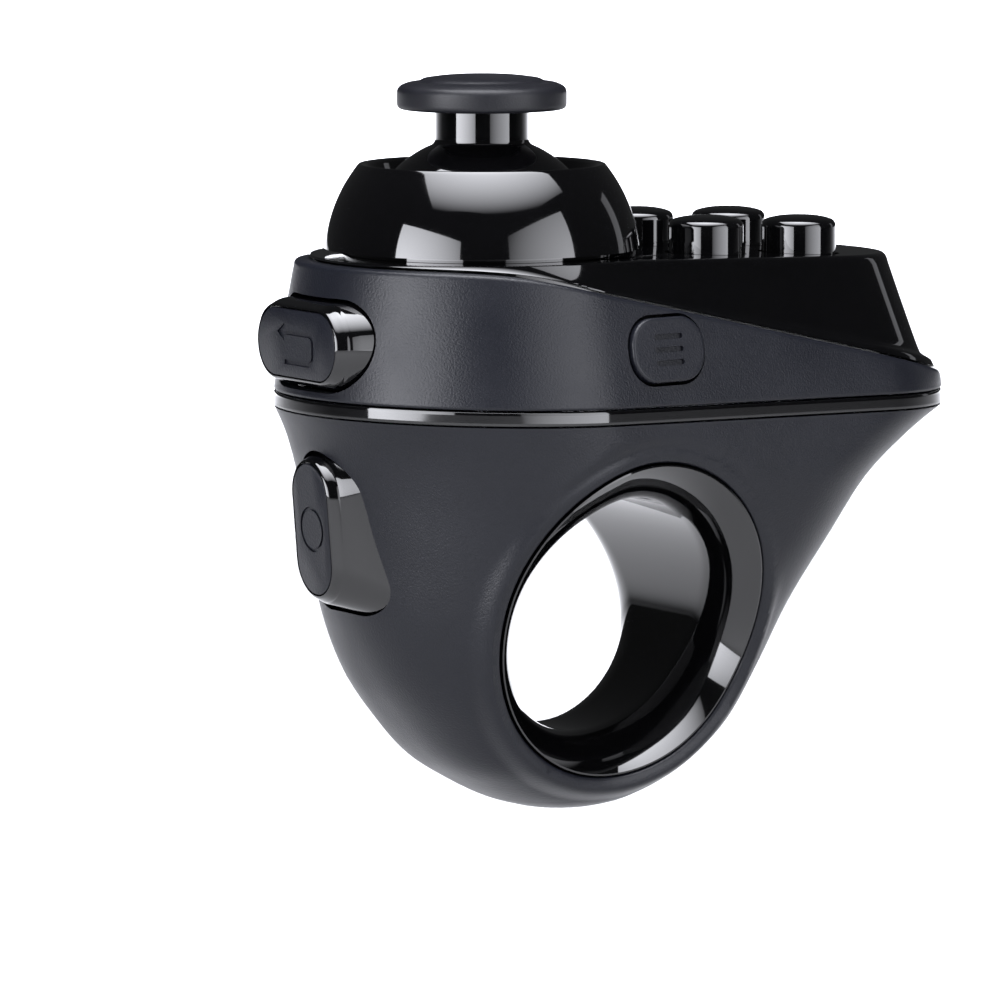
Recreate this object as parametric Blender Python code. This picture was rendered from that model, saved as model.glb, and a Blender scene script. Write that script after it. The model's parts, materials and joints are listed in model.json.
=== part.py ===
"""Ring-worn thumb controller: a finger ring below, a thumb stick and buttons on top.

Frame: the origin is the centre of the finger hole, +X runs from the front buttons to the
tail, +Y is the axis of the finger hole and +Z points up to the thumb stick.
"""
from math import acos, cos, pi, sin, sqrt

import bmesh
import bpy
from mathutils import Matrix, Vector

MM = 0.001
GAP = 0.3                       # clearance between neighbouring pieces, mm

# Driving dimensions, all in millimetres
BORE_R = 10.8                   # straight part of the finger hole
MOUTH_R = 14.05                  # finger hole at its two flared mouths
MOUTH_NARROW = 0.5              # how much less its half width is along X
MOUTH_DEPTH = 6.0
MOUTH_POWER = 2.2                # how the flare eases from the mouth into the bore
LINER_WALL = 1.2
TUNNEL_R, TUNNEL_MID_R = 15.6, 13.3   # wall of the ring housing around the liner
WALL = 1.6                      # housing wall

NOSE_X = -7.9                   # centre of the round front end, and of the thumb stick
BELT_R = 18.4                   # front radius of the belt at the trim
BELT_DRAFT = 0.165              # inward lean of the belt per millimetre of height
TAIL_TIP = 38.2
BELT_HALF = 17.38               # half width of the belt at x = 0
SIDE_TAPER = 0.163              # how fast both sides close in towards the tail

TRIM_TOP = 19.1                 # height of the trim band's top at x = 0
TRIM_SLOPE = -0.025
TRIM_TALL = 1.1
SEAM = 0.2                      # open seam between the trim and its neighbours

BELT_TOP_FRONT = 31.5           # flat front of the belt's top edge
BELT_KNEE_X = -14.4             # from here the top edge falls towards the tail
BELT_FALL = 0.229
PLATE_Z = 31.9                  # top plate height at x = 0
PLATE_SLOPE = -0.035
PLATE_WALL = 1.5
PLATE_FRONT_R = 15.1
PLATE_TAIL_R = 11.2
PLATE_TAIL_TIP = 32.4

PIVOT_Z = 31.3                  # tilt centre of the thumb stick
BALL_R = 11.1
BALL_WALL = 1.2
BALL_EDGE = 1.29                # polar angle of the skirt's lower edge, radians
DOME_R = 14.0
DOME_WALL = 1.5
DOME_CENTRE_Z = 31.0
DOME_BASE_Z = 32.4
DOME_RIM_Z = 39.8
NECK_R = 4.15
CAP_R = 7.5
CAP_BASE_Z = 44.6
CAP_TOP_Z = 47.7
SHAFT_R = 1.2

BUTTON_R = 3.35
BUTTON_CENTRE_X = 16.6
BUTTON_PITCH_X = 9.8
BUTTON_PITCH_Y = 11.8
BUTTON_TALL = 3.4               # above the plate

BOARD_Z = 21.4                  # underside of the main board
BOARD_T = 1.0

TAIL_STEPS, SIDE_STEPS, NOSE_STEPS = 7, 3, 10     # points along half an outline
TURN_STEPS = 32

# Lines of the lower body: height, front x, back x, half width at x = 0, side taper,
# and how square the nose and the tail are (2 is a circular arc)
STATIONS = (
    (-17.8, -3.0, 1.6, 2.2, 0.0, 2.0, 2.0),
    (-17.5, -4.6, 3.4, 4.8, 0.0, 2.1, 2.1),
    (-16.7, -7.2, 6.6, 7.0, 0.01, 2.2, 2.1),
    (-15.1, -10.3, 10.2, 8.4, 0.05, 2.4, 2.1),
    (-13.0, -13.4, 13.2, 9.5, 0.10, 2.6, 2.15),
    (-10.0, -16.2, 16.1, 10.6, 0.15, 2.5, 2.2),
    (-5.5, -19.4, 18.8, 12.1, 0.19, 2.35, 2.2),
    (0.0, -21.7, 21.6, 14.1, 0.2, 2.15, 2.2),
    (6.0, -23.0, 25.3, 16.0, 0.185, 2.0, 2.3),
    (11.5, -23.9, 29.4, 17.0, SIDE_TAPER, 2.0, 2.2),
    (15.5, -25.0, 34.2, 17.3, SIDE_TAPER, 2.0, 2.1),
    (18.1, -26.2, 38.1, BELT_HALF, SIDE_TAPER, 2.0, 2.0),
)

# Slide-in buttons on the front: centre y, centre z, half sizes of the matte face, corner
# radius of the face, x of the face, chamfer width and depth, half sizes, corner radius and
# x of the inner end, lean of the face (x per z) and how much wider the base is at its foot
BACK = (0.0, 24.7, (7.05, 3.2), 3.2, -26.7, (0.55, 1.15), (8.6, 3.95), 3.75, -20.8, 0.0, 0.0)
TRIGGER = (0.0, 8.35, (3.2, 6.05), 3.2, -25.2, (0.55, 0.95), (7.2, 7.7), 3.2, -20.5, 0.08, 0.0)
FACE_INLAY = 0.6                # depth of the matte inlay in the front buttons

MENU_HALF = (4.1, 2.85)
MENU_CORNER = 2.55
MENU_POINT = (0.9, 24.2)        # x and z on the near side of the belt
USB_X, USB_Z = -0.4, 23.8        # charging socket, on the far side of the belt
LIGHT_X, LIGHT_Z = 9.2, 23.15
POSTS = ((24.7, 0.0, 9.6), (-8.8, 11.2, 12.0), (-8.8, -11.2, 12.0))   # x, y, foot height


def clear_scene():
    for item in list(bpy.data.objects):
        bpy.data.objects.remove(item, do_unlink=True)


# ---------------------------------------------------------------- materials

def material(name, colour, roughness, metallic=0.0, coat=0.0):
    made = bpy.data.materials.new(name)
    made.use_nodes = True
    shader = made.node_tree.nodes["Principled BSDF"]
    shader.inputs["Base Color"].default_value = (*colour, 1.0)
    shader.inputs["Roughness"].default_value = roughness
    shader.inputs["Metallic"].default_value = metallic
    shader.inputs["Coat Weight"].default_value = coat
    return made


LOOKS = {
    "matte": ((0.022, 0.022, 0.025), 0.55, 0.0, 0.0),
    "gloss": ((0.006, 0.006, 0.007), 0.08, 0.0, 0.6),
    "rubber": ((0.016, 0.016, 0.018), 0.7, 0.0, 0.0),
    "keypad": ((0.30, 0.31, 0.32), 0.6, 0.0, 0.0),
    "board": ((0.010, 0.110, 0.045), 0.45, 0.0, 0.3),
    "steel": ((0.55, 0.55, 0.56), 0.3, 1.0, 0.0),
    "nylon": ((0.045, 0.045, 0.05), 0.5, 0.0, 0.0),
    "cell": ((0.45, 0.46, 0.48), 0.35, 0.6, 0.0),
    "lens": ((0.75, 0.80, 0.85), 0.2, 0.0, 0.0),
}


# ---------------------------------------------------------------- mesh helpers

def new_object(name, mesh, look):
    made = bpy.data.objects.new(name, mesh)
    bpy.context.scene.collection.objects.link(made)
    if look:
        made.data.materials.append(material(name + "_finish", *LOOKS[look]))
    return made


def finish_mesh(bm, name, look, smooth=0.6):
    bmesh.ops.remove_doubles(bm, verts=bm.verts, dist=1e-7)
    bmesh.ops.recalc_face_normals(bm, faces=bm.faces)
    mesh = bpy.data.meshes.new(name)
    bm.to_mesh(mesh)
    bm.free()
    mesh.shade_smooth()
    mesh.set_sharp_from_angle(angle=smooth)
    return new_object(name, mesh, look)


def skin(name, rings, look, closed=False):
    """Faces between rings of equal length; closed joins the last ring to the first."""
    bm = bmesh.new()
    rows = [[bm.verts.new(Vector(point) * MM) for point in ring] for ring in rings]
    count = len(rows[0])
    pairs = list(zip(rows, rows[1:]))
    if closed:
        pairs.append((rows[-1], rows[0]))
    for low, high in pairs:
        for k in range(count):
            n = (k + 1) % count
            bm.faces.new((low[k], low[n], high[n], high[k]))
    if not closed:
        bm.faces.new(list(reversed(rows[0])))
        bm.faces.new(rows[-1])
    return finish_mesh(bm, name, look)


def turned(name, profile, look, place=Matrix.Identity(4), steps=TURN_STEPS):
    """Turn a closed (radius, height) profile about Z; points at radius 0 are poles."""
    bm = bmesh.new()
    rows = []
    for radius, height in profile:
        if radius < 1e-6:
            rows.append([bm.verts.new((0.0, 0.0, height * MM))])
            continue
        row = []
        for k in range(steps):
            turn = 2 * pi * k / steps
            row.append(bm.verts.new((radius * MM * cos(turn), radius * MM * sin(turn), height * MM)))
        rows.append(row)
    for low, high in zip(rows, rows[1:] + rows[:1]):
        if len(low) == 1 and len(high) == 1:
            continue
        for k in range(steps):
            n = (k + 1) % steps
            if len(low) == 1:
                bm.faces.new((low[0], high[n], high[k]))
            elif len(high) == 1:
                bm.faces.new((low[k], low[n], high[0]))
            else:
                bm.faces.new((low[k], low[n], high[n], high[k]))
    made = finish_mesh(bm, name, look)
    made.matrix_world = place
    return made


def arc(radius, start, end, steps, centre=0.0):
    """Points (radius, height) of a circular arc; angles are polar angles from +Z."""
    points = []
    for k in range(steps + 1):
        angle = start + (end - start) * k / steps
        points.append((radius * sin(angle), centre + radius * cos(angle)))
    return points


def at(x, y, z, turn=None):
    place = Matrix.Translation(Vector((x, y, z)) * MM)
    return place @ turn if turn else place


def along(direction):
    """Rotation that takes +Z to the given direction."""
    return Vector((0, 0, 1)).rotation_difference(Vector(direction)).to_matrix().to_4x4()


def block(name, low, high, look, bevel=0.0):
    bm = bmesh.new()
    bmesh.ops.create_cube(bm, size=1.0)
    size = Vector(high) - Vector(low)
    middle = (Vector(high) + Vector(low)) / 2
    bmesh.ops.scale(bm, vec=size * MM, verts=bm.verts)
    bmesh.ops.translate(bm, vec=middle * MM, verts=bm.verts)
    if bevel:
        bmesh.ops.bevel(bm, geom=list(bm.edges), offset=bevel * MM, segments=1, affect='EDGES')
    return finish_mesh(bm, name, look, smooth=0.4)


def rod(name, radius, low, high, look, place=Matrix.Identity(4), steps=20):
    return turned(name, [(0, low), (radius, low), (radius, high), (0, high)], look, place, steps)


def hide(tool):
    tool.hide_render = True
    tool.display_type = 'WIRE'


def combine(target, tool, operation='DIFFERENCE'):
    hide(tool)
    step = target.modifiers.new(tool.name, 'BOOLEAN')
    step.operation = operation
    step.solver = 'EXACT'
    step.object = tool


def smooth_between(table, steps):
    """Catmull-Rom points through the rows of a table, with steps points per span."""
    rows = []
    last = len(table) - 1
    for i in range(last):
        p0, p1, p2, p3 = (table[max(i - 1, 0)], table[i], table[i + 1], table[min(i + 2, last)])
        for k in range(steps):
            t = k / steps
            rows.append(tuple(
                0.5 * (2 * b + (c - a) * t + (2 * a - 5 * b + 4 * c - d) * t * t
                       + (3 * b - a - 3 * c + d) * t ** 3)
                for a, b, c, d in zip(p0, p1, p2, p3)))
    rows.append(table[-1])
    return rows


# ---------------------------------------------------------------- body outlines

def bent(angle, square):
    """Unit superellipse point; square 2 is a circle, larger values are squarer."""
    power = 2.0 / square
    return (abs(cos(angle)) ** power * (1 if cos(angle) >= 0 else -1), abs(sin(angle)) ** power)


def outline(front, back, nose_r, tail_r, nose_square=2.0, tail_square=2.0):
    """Egg outline seen from above: a nose arc, two straight sides and a tail arc.

    Returns (x, y, outward x, outward y) for each point, counter-clockwise from the tail tip.
    """
    room = 0.5 * (back - front) - 0.02
    nose_a, tail_a = min(nose_r, room), min(tail_r, room)
    nose_x, tail_x = front + nose_a, back - tail_a
    lean = max(-0.95, min(0.95, (nose_r - tail_r) / max(tail_x - nose_x, 0.01)))
    turn = acos(lean)
    half = []
    for k in range(TAIL_STEPS + 1):
        angle = turn * k / TAIL_STEPS
        a, b = bent(angle, tail_square)
        half.append((tail_x + tail_a * a, tail_r * b, cos(angle), sin(angle)))
    a, b = bent(turn, nose_square)
    nose_start = (nose_x + nose_a * a, nose_r * b)
    for k in range(1, SIDE_STEPS):
        t = k / SIDE_STEPS
        half.append((half[TAIL_STEPS][0] * (1 - t) + nose_start[0] * t,
                     half[TAIL_STEPS][1] * (1 - t) + nose_start[1] * t, cos(turn), sin(turn)))
    for k in range(NOSE_STEPS + 1):
        angle = turn + (pi - turn) * k / NOSE_STEPS
        a, b = bent(angle, nose_square)
        half.append((nose_x + nose_a * a, nose_r * b, cos(angle), sin(angle)))
    mirrored = [(x, -y, nx, -ny) for x, y, nx, ny in reversed(half[1:-1])]
    return half + mirrored


def end_radii(front, back, width, taper):
    """Nose and tail radius of an outline with the given half width at x = 0."""
    return (width - taper * front) / (1 + taper), (width - taper * back) / (1 - taper)


def trim_outline():
    nose_r, tail_r = end_radii(NOSE_X - BELT_R, TAIL_TIP, BELT_HALF, SIDE_TAPER)
    return outline(NOSE_X - BELT_R, TAIL_TIP, nose_r, tail_r)


def trim_top(x):
    return TRIM_TOP + TRIM_SLOPE * x


def trim_bottom(x):
    return trim_top(x) - TRIM_TALL


def belt_bottom(x):
    return trim_top(x) + SEAM


def belt_top(x):
    """Top edge of the belt: flat at the front, then falling in a straight line."""
    drop = BELT_FALL * (x - BELT_KNEE_X)
    ease = 5.0
    return BELT_TOP_FRONT - 0.5 * (drop + sqrt(drop * drop + (ease * BELT_FALL) ** 2)) + 0.1


def plate_top(x):
    return PLATE_Z + PLATE_SLOPE * max(x, 0.0)


def belt_inset(x, z):
    """How far the belt's outside stands inside the trim outline at height z."""
    rise = max(z - belt_bottom(x), 0.0)
    return BELT_DRAFT * rise


def inset_ring(points, inset, height):
    """Ring of 3-D points; inset and height are functions of x."""
    ring = []
    for x, y, nx, ny in points:
        gap = inset(x)
        ring.append((x - nx * gap, y - ny * gap, height(x)))
    return ring


def belt_ring(level, extra):
    """Ring on the belt at a share of its height, moved inward by extra."""
    def height(x):
        return belt_bottom(x) + level * (belt_top(x) - belt_bottom(x))

    def inset(x):
        bulge = 0.35 * level * (1 - level)
        return belt_inset(x, height(x)) - bulge + (extra(x) if callable(extra) else extra)
    return inset_ring(trim_outline(), inset, height)


# ---------------------------------------------------------------- lower body

def body_outline(row):
    z, front, back, width, taper, nose_square, tail_square = row
    nose_r, tail_r = end_radii(front, back, width, taper)
    return outline(front, back, nose_r, tail_r, nose_square, tail_square)


def body_rings(inset, lowest=None, steps=2):
    rings = []
    for row in smooth_between(STATIONS, steps):
        z = row[0]
        if lowest is not None and z < lowest:
            continue
        share = max(z, 0.0) / STATIONS[-1][0]
        ring = []
        for x, y, nx, ny in body_outline(row):
            seam = trim_bottom(x) - SEAM
            lift = (seam - STATIONS[-1][0]) * share * share
            ring.append((x - nx * inset, y - ny * inset, z + lift))
        rings.append(ring)
    return rings


def side_y(x, z):
    """Half width of the lower body at a point of its side, near the finger hole."""
    rows = smooth_between(STATIONS, 12)
    row = min(rows, key=lambda one: abs(one[0] - z))
    half = [(px, py) for px, py, _, _ in body_outline(row) if py >= 0.0]
    half.sort()
    for (x0, y0), (x1, y1) in zip(half, half[1:]):
        if x0 <= x <= x1 and x1 > x0:
            return y0 + (y1 - y0) * (x - x0) / (x1 - x0)
    return half[0][1]


def liner_rings(wall, lead, overshoot=0.0, steps=44):
    """Rings across the finger hole, from the -Y mouth to the +Y mouth, offset outward by wall.

    An offset surface starts with a ring at the mouth, which stands out by lead.
    """
    shares = (0.0, 0.1, 0.25, 0.5, 1.0)
    places = ([(0.0, 0.0)] if wall else []) + [(share, wall) for share in shares]
    rings = []
    for side in (-1, 1):
        for share, off in (places if side < 0 else list(reversed(places))):
            ring = []
            for k in range(steps):
                turn = 2 * pi * k / steps
                mouth_r = MOUTH_R - MOUTH_NARROW * cos(turn) ** 2
                slope = MOUTH_POWER * (1 - share) ** (MOUTH_POWER - 1) * (mouth_r - BORE_R) / MOUTH_DEPTH
                length = sqrt(1 + slope * slope)
                radius = BORE_R + (mouth_r - BORE_R) * (1 - share) ** MOUTH_POWER + off / length
                depth = MOUTH_DEPTH * share + off * slope / length
                if wall and not off:
                    radius, depth = mouth_r + lead, -overshoot
                mouth = side_y(mouth_r * cos(turn), mouth_r * sin(turn)) - 0.12
                radius = min(radius, mouth_r + lead)
                ring.append((radius * cos(turn), side * (mouth - depth), radius * sin(turn)))
            rings.append(ring)
    return rings


def make_finger_liner():
    inner = liner_rings(0.0, 0.0)
    shell = liner_rings(LINER_WALL, 0.15)
    skin("finger_liner", inner + list(reversed(shell)), "gloss", closed=True)


def make_ring_housing():
    body = skin("ring_housing", body_rings(0.0), "matte")
    room_rings = body_rings(WALL, lowest=-8.0)
    room_rings.append([(x, y, z + 3.0) for x, y, z in room_rings[-1]])
    room = skin("housing_room", room_rings, None)
    tunnel = turned("tunnel_wall", [(0, -30.0), (TUNNEL_R, -30.0), (TUNNEL_R, -7.5), (TUNNEL_MID_R, -4.5),
                                    (TUNNEL_MID_R, 4.5), (TUNNEL_R, 7.5), (TUNNEL_R, 30.0), (0, 30.0)],
                    None, along((0, 1, 0)), steps=44)
    combine(room, tunnel)
    combine(body, room)
    for k, (x, y, foot) in enumerate(POSTS):
        combine(body, rod("post_%d" % k, 2.0, foot, BOARD_Z - GAP, None, at(x, y, 0)), 'UNION')
    seat = skin("liner_seat", liner_rings(LINER_WALL + GAP, 0.15 + GAP, overshoot=6.0), None)
    combine(body, seat)
    for k, (x, y, foot) in enumerate(POSTS):
        combine(body, rod("pilot_%d" % k, 1.0, foot + 3.5, BOARD_Z + 1, None, at(x, y, 0), 12))
    combine(body, front_opening("trigger_opening", TRIGGER))


def make_trim_band():
    points = trim_outline()
    rings = [inset_ring(points, lambda x: 0.1, trim_bottom),
             inset_ring(points, lambda x: 0.0, lambda x: trim_bottom(x) + 0.15),
             inset_ring(points, lambda x: 0.0, lambda x: trim_top(x) - 0.15),
             inset_ring(points, lambda x: 0.1, trim_top),
             inset_ring(points, lambda x: 1.9, trim_top),
             inset_ring(points, lambda x: 1.9, trim_bottom)]
    skin("trim_band", rings, "gloss", closed=True)


def make_mid_housing():
    levels = (0.0, 0.03, 0.35, 0.7, 0.96, 1.0)
    edge = (0.12, 0.0, 0.0, 0.0, 0.0, 0.12)
    outside = [belt_ring(level, extra) for level, extra in zip(levels, edge)]
    inside = [belt_ring(level, WALL) for level in (1.0, 0.5, 0.0)]
    belt = skin("mid_housing", outside + inside, "matte", closed=True)
    combine(belt, front_opening("back_opening", BACK))
    combine(belt, menu_solid("menu_opening", ((-3.4, GAP), (2.0, GAP)), None))
    combine(belt, block("port_opening", (USB_X - 4.1, 12.0, USB_Z - 1.7),
                        (USB_X + 4.1, 22.0, USB_Z + 1.7), None, bevel=0.5))
    combine(belt, rod("light_opening", 1.0, 10.0, 22.0, None,
                      at(LIGHT_X, 0, LIGHT_Z, along((0, 1, 0)))))


# ---------------------------------------------------------------- top cover and dome

def plate_points(inset):
    points = outline(NOSE_X - PLATE_FRONT_R, PLATE_TAIL_TIP, PLATE_FRONT_R, PLATE_TAIL_R)
    return [(x - nx * inset, y - ny * inset) for x, y, nx, ny in points]


def ledge_inset(x):
    """The cover's lower lip covers the belt's edge, except around the nose."""
    return 0.3 + 1.6 * min(max((-3.0 - x) / 7.0, 0.0), 1.0)


def cover_ring(share, rise, extra):
    """Ring between the belt's top edge (share 0) and the plate's edge (share 1)."""
    low = belt_ring(1.0, extra)
    high = plate_points(0.35 if callable(extra) else extra)
    ring = []
    for (x0, y0, z0), (x1, y1) in zip(low, high):
        top = plate_top(x1)
        z0 += rise
        ring.append((x0 + (x1 - x0) * share, y0 + (y1 - y0) * share, z0 + (top - z0) * share))
    return ring


def make_top_cover():
    tongue = WALL + GAP
    rings = [
        [(x, y, z - 2.0) for x, y, z in belt_ring(1.0, tongue)],
        [(x, y, z + SEAM) for x, y, z in belt_ring(1.0, tongue)],
        cover_ring(0.0, SEAM, ledge_inset),
        cover_ring(0.05, SEAM + 0.05, ledge_inset),
        cover_ring(0.12, SEAM + 0.05, 1.0),
        cover_ring(0.5, SEAM, 0.55),
        cover_ring(0.94, SEAM, 0.0),
        cover_ring(1.0, 0.0, 0.55),
        cover_ring(1.0, 0.0, 2.0),
    ]
    inner_top = [(x, y, z - PLATE_WALL) for x, y, z in cover_ring(1.0, 0.0, 1.4)]
    inner = [inner_top, [(x, y, min(z - 2.0, t[2] - 0.2))
                         for (x, y, z), t in zip(belt_ring(1.0, tongue + 1.3), inner_top)]]
    outer_body = skin("top_cover", rings, "gloss")
    room = skin("cover_room", [[(x, y, z - 4.0) for x, y, z in inner[1]], inner[1], inner[0]], None)
    combine(outer_body, room)
    combine(outer_body, rod("dome_hole", 12.4, 20.0, 40.0, None, at(NOSE_X, 0, 0), steps=36))
    for k, (x, y) in enumerate(button_centres()):
        combine(outer_body, rod("button_hole_%d" % (k + 1), BUTTON_R + GAP, 20.0, 40.0, None,
                                at(x, y, 0), steps=24))
    combine(outer_body, menu_solid("menu_notch", ((-4.5, GAP), (-1.0, GAP)), None))


def make_dome_cup():
    inner_r = DOME_R - DOME_WALL
    outside = arc(DOME_R, acos((DOME_BASE_Z - DOME_CENTRE_Z) / DOME_R),
                  acos((DOME_RIM_Z - DOME_CENTRE_Z) / DOME_R), 8, DOME_CENTRE_Z)
    rim_in = acos((DOME_RIM_Z - 0.7 - DOME_CENTRE_Z) / inner_r)
    inside = arc(inner_r, rim_in, acos((DOME_BASE_Z + 0.9 - DOME_CENTRE_Z) / inner_r), 5,
                 DOME_CENTRE_Z)
    rim_r = outside[-1][0]
    rim = [(rim_r - 0.35, DOME_RIM_Z + 0.05), (rim_r - 0.8, DOME_RIM_Z - 0.1)]
    spigot = [(11.5, DOME_BASE_Z), (11.5, 30.2), (12.1, 30.2), (12.1, DOME_BASE_Z)]
    turned("dome_cup", outside + rim + inside + spigot, "gloss", at(NOSE_X, 0, 0), steps=36)


# ---------------------------------------------------------------- thumb stick

def make_thumb_stick():
    neck_polar = acos(sqrt(BALL_R ** 2 - NECK_R ** 2) / BALL_R)
    inner_r = BALL_R - BALL_WALL
    bore = SHAFT_R + GAP
    shell = arc(BALL_R, neck_polar, BALL_EDGE, 8)
    lining = arc(inner_r, BALL_EDGE, acos(sqrt(inner_r ** 2 - bore ** 2) / inner_r), 6)
    neck_top = CAP_BASE_Z + 0.7 - PIVOT_Z
    profile = [(0, neck_top), (NECK_R, neck_top)] + shell + lining
    profile += [(bore, neck_top - 1.2), (0, neck_top - 1.2)]
    pivot = at(NOSE_X, 0, PIVOT_Z)
    turned("ball_skirt", profile, "gloss", pivot)

    base, top = CAP_BASE_Z - PIVOT_Z, CAP_TOP_Z - PIVOT_Z
    recess = NECK_R + GAP
    cap = [(0, base + 1.0), (recess, base + 1.0), (recess, base), (CAP_R - 0.3, base),
           (CAP_R, base + 0.3), (CAP_R, base + 1.7), (CAP_R - 0.15, base + 2.05),
           (CAP_R - 0.55, base + 2.3), (CAP_R - 1.2, base + 2.45), (CAP_R - 1.7, base + 2.45),
           (CAP_R - 2.0, base + 2.6), (CAP_R - 3.5, top - 0.2), (2.0, top - 0.04), (0, top)]
    turned("joystick_cap", cap, "rubber", pivot)

    shaft_top = neck_top - 1.2 - GAP
    shaft = [(0, -4.5), (2.3, -4.1), (2.3, -3.5), (SHAFT_R, -3.2), (SHAFT_R, shaft_top), (0, shaft_top)]
    made = turned("stick_shaft", shaft, "steel", pivot, steps=16)
    hub = block("stick_hub", (NOSE_X - 2.0, -2.0, PIVOT_Z - 1.2), (NOSE_X + 2.0, 2.0, PIVOT_Z + 1.2), None)
    combine(made, hub, 'UNION')
    pin = rod("stick_cross_pin", 0.7, -3.4, 3.4, None, at(NOSE_X, 0, PIVOT_Z, along((1, 0, 0))), 12)
    combine(made, pin, 'UNION')


def make_tilt_yoke():
    """Square ring around the hub; its two pins along Y turn in the module's walls."""
    x, z = NOSE_X, PIVOT_Z
    yoke = block("tilt_yoke", (x - 3.5, -4.0, z - 1.2), (x + 3.5, 4.0, z + 1.2), "nylon")
    combine(yoke, block("yoke_window", (x - 2.7, -2.9, z - 3), (x + 2.7, 2.9, z + 3), None))
    combine(yoke, rod("yoke_pin_hole", 1.0, -6, 6, None, at(x, 0, z, along((1, 0, 0))), 12))
    for side in (-1, 1):
        pin = rod("yoke_pin_%d" % side, 0.9, 3.4, 7.9 if side < 0 else 6.1, None,
                  at(x, 0, z, along((0, side, 0))), 12)
        combine(yoke, pin, 'UNION')


def make_sensor_yoke():
    """Slotted arch over the stick, turning about X; the stick swings it sideways only."""
    x, z = NOSE_X, PIVOT_Z
    turns = [-0.2 + (pi + 0.4) * k / 15 for k in range(16)]
    band = [(5.2 * cos(t), 5.2 * sin(t)) for t in turns]
    band += [(4.35 * cos(t), 4.35 * sin(t)) for t in reversed(turns)]
    arch = skin("sensor_yoke", [[(x + a, y, z + b) for a, b in band] for y in (-2.3, 2.3)], "nylon")
    combine(arch, block("arch_slot", (x - 3.3, -1.6, z + 2), (x + 3.3, 1.6, z + 7), None))
    for side, reach in ((-1, 6.1), (1, 7.9)):
        pin = rod("arch_pin_%d" % side, 0.85, 4.75, reach, None, at(x, 0, z, along((side, 0, 0))), 14)
        combine(arch, pin, 'UNION')


def make_joystick_module():
    """Open steel frame around the yokes, a sensor on two of its sides, and the return spring."""
    x, z = NOSE_X, PIVOT_Z
    low = BOARD_Z + BOARD_T + GAP
    half, wall = 6.2, 0.9
    frame = block("joystick_frame", (x - half, -half, low), (x + half, half, z + 1.7), "steel", 0.3)
    inner = half - wall
    combine(frame, block("frame_room", (x - inner, -inner, low + 0.8), (x + inner, inner, z + 6), None))
    for direction in ((0, 1, 0), (1, 0, 0)):
        hole = rod("frame_pin_hole_%d%d" % direction[:2], 1.2, -8, 8, None, at(x, 0, z, along(direction)), 16)
        combine(frame, hole)
    start, end = half + GAP, half + GAP + 1.8
    y_sensor = block("tilt_sensor", (x - 3.2, -end, low + 0.6), (x + 3.2, -start, z + 2.1), "board", 0.3)
    combine(y_sensor, rod("tilt_sensor_hole", 1.2, -9, 9, None, at(x, 0, z, along((0, 1, 0))), 16))
    x_sensor = block("side_sensor", (x + start, -3.2, low + 0.6), (x + end, 3.2, z + 2.1), "board", 0.3)
    combine(x_sensor, rod("side_sensor_hole", 1.2, -9, 9, None, at(x, 0, z, along((1, 0, 0))), 16))
    turned("return_plate", [(0, 25.3), (3.6, 25.3), (3.6, 25.8), (0, 25.8)], "nylon", at(x, 0, 0), 24)
    make_spring("return_spring", x, low + 0.8 + 0.35, 25.0 - 0.3, 2.6, 0.3, 1.5)


def make_spring(name, x, low, high, coil_r, wire_r, turns):
    """Round wire wound around the stick's axis."""
    bm = bmesh.new()
    steps = int(turns * 18)
    rows = []
    for k in range(steps + 1):
        angle = 2 * pi * turns * k / steps
        height = low + (high - low) * k / steps
        row = []
        for m in range(6):
            lean = 2 * pi * m / 6
            radius = coil_r + wire_r * cos(lean)
            row.append(bm.verts.new(Vector((x + radius * cos(angle), radius * sin(angle),
                                            height + wire_r * sin(lean))) * MM))
        rows.append(row)
    for a, b in zip(rows, rows[1:]):
        for m in range(6):
            n = (m + 1) % 6
            bm.faces.new((a[m], a[n], b[n]))
            bm.faces.new((a[m], b[n], b[m]))
    for end in (rows[0], rows[-1]):
        middle = bm.verts.new(sum((v.co for v in end), Vector()) / 6)
        for m in range(6):
            bm.faces.new((end[m], end[(m + 1) % 6], middle))
    finish_mesh(bm, name, "steel")


# ---------------------------------------------------------------- face buttons

def button_centres():
    """Centres of the face buttons: front far, front near, back far, back near."""
    return [(BUTTON_CENTRE_X + sx * BUTTON_PITCH_X / 2, sy * BUTTON_PITCH_Y / 2)
            for sx in (-1, 1) for sy in (1, -1)]


def make_face_buttons():
    for k, (x, y) in enumerate(button_centres()):
        top = plate_top(x) + BUTTON_TALL
        profile = [(0, 28.2), (3.85, 28.2), (3.85, 29.0), (BUTTON_R, 29.0), (BUTTON_R, top - 1.05),
                   (BUTTON_R - 0.14, top - 0.7), (BUTTON_R - 0.55, top - 0.4), (1.6, top - 0.09),
                   (0, top)]
        turned("face_button_%d" % (k + 1), profile, "gloss", at(x, y, 0), steps=24)


def make_keypad_mat():
    low, high = 22.8, 23.6
    mat = block("keypad_mat", (7.8, -9.0, low), (24.8, 9.0, high), "keypad")
    tail_x, tail_y, _ = POSTS[0]
    combine(mat, rod("mat_notch", 2.1, 20.0, 28.0, None, at(tail_x, tail_y, 0), 20))
    for k, (x, y) in enumerate(button_centres()):
        dome = turned("keypad_dome_%d" % (k + 1),
                      [(0, high - 0.4), (3.0, high - 0.4), (2.2, high + 1.6), (1.9, 26.9), (0, 26.9)],
                      None, at(x, y, 0), steps=16)
        combine(mat, dome, 'UNION')


# ---------------------------------------------------------------- side and front buttons

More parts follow.
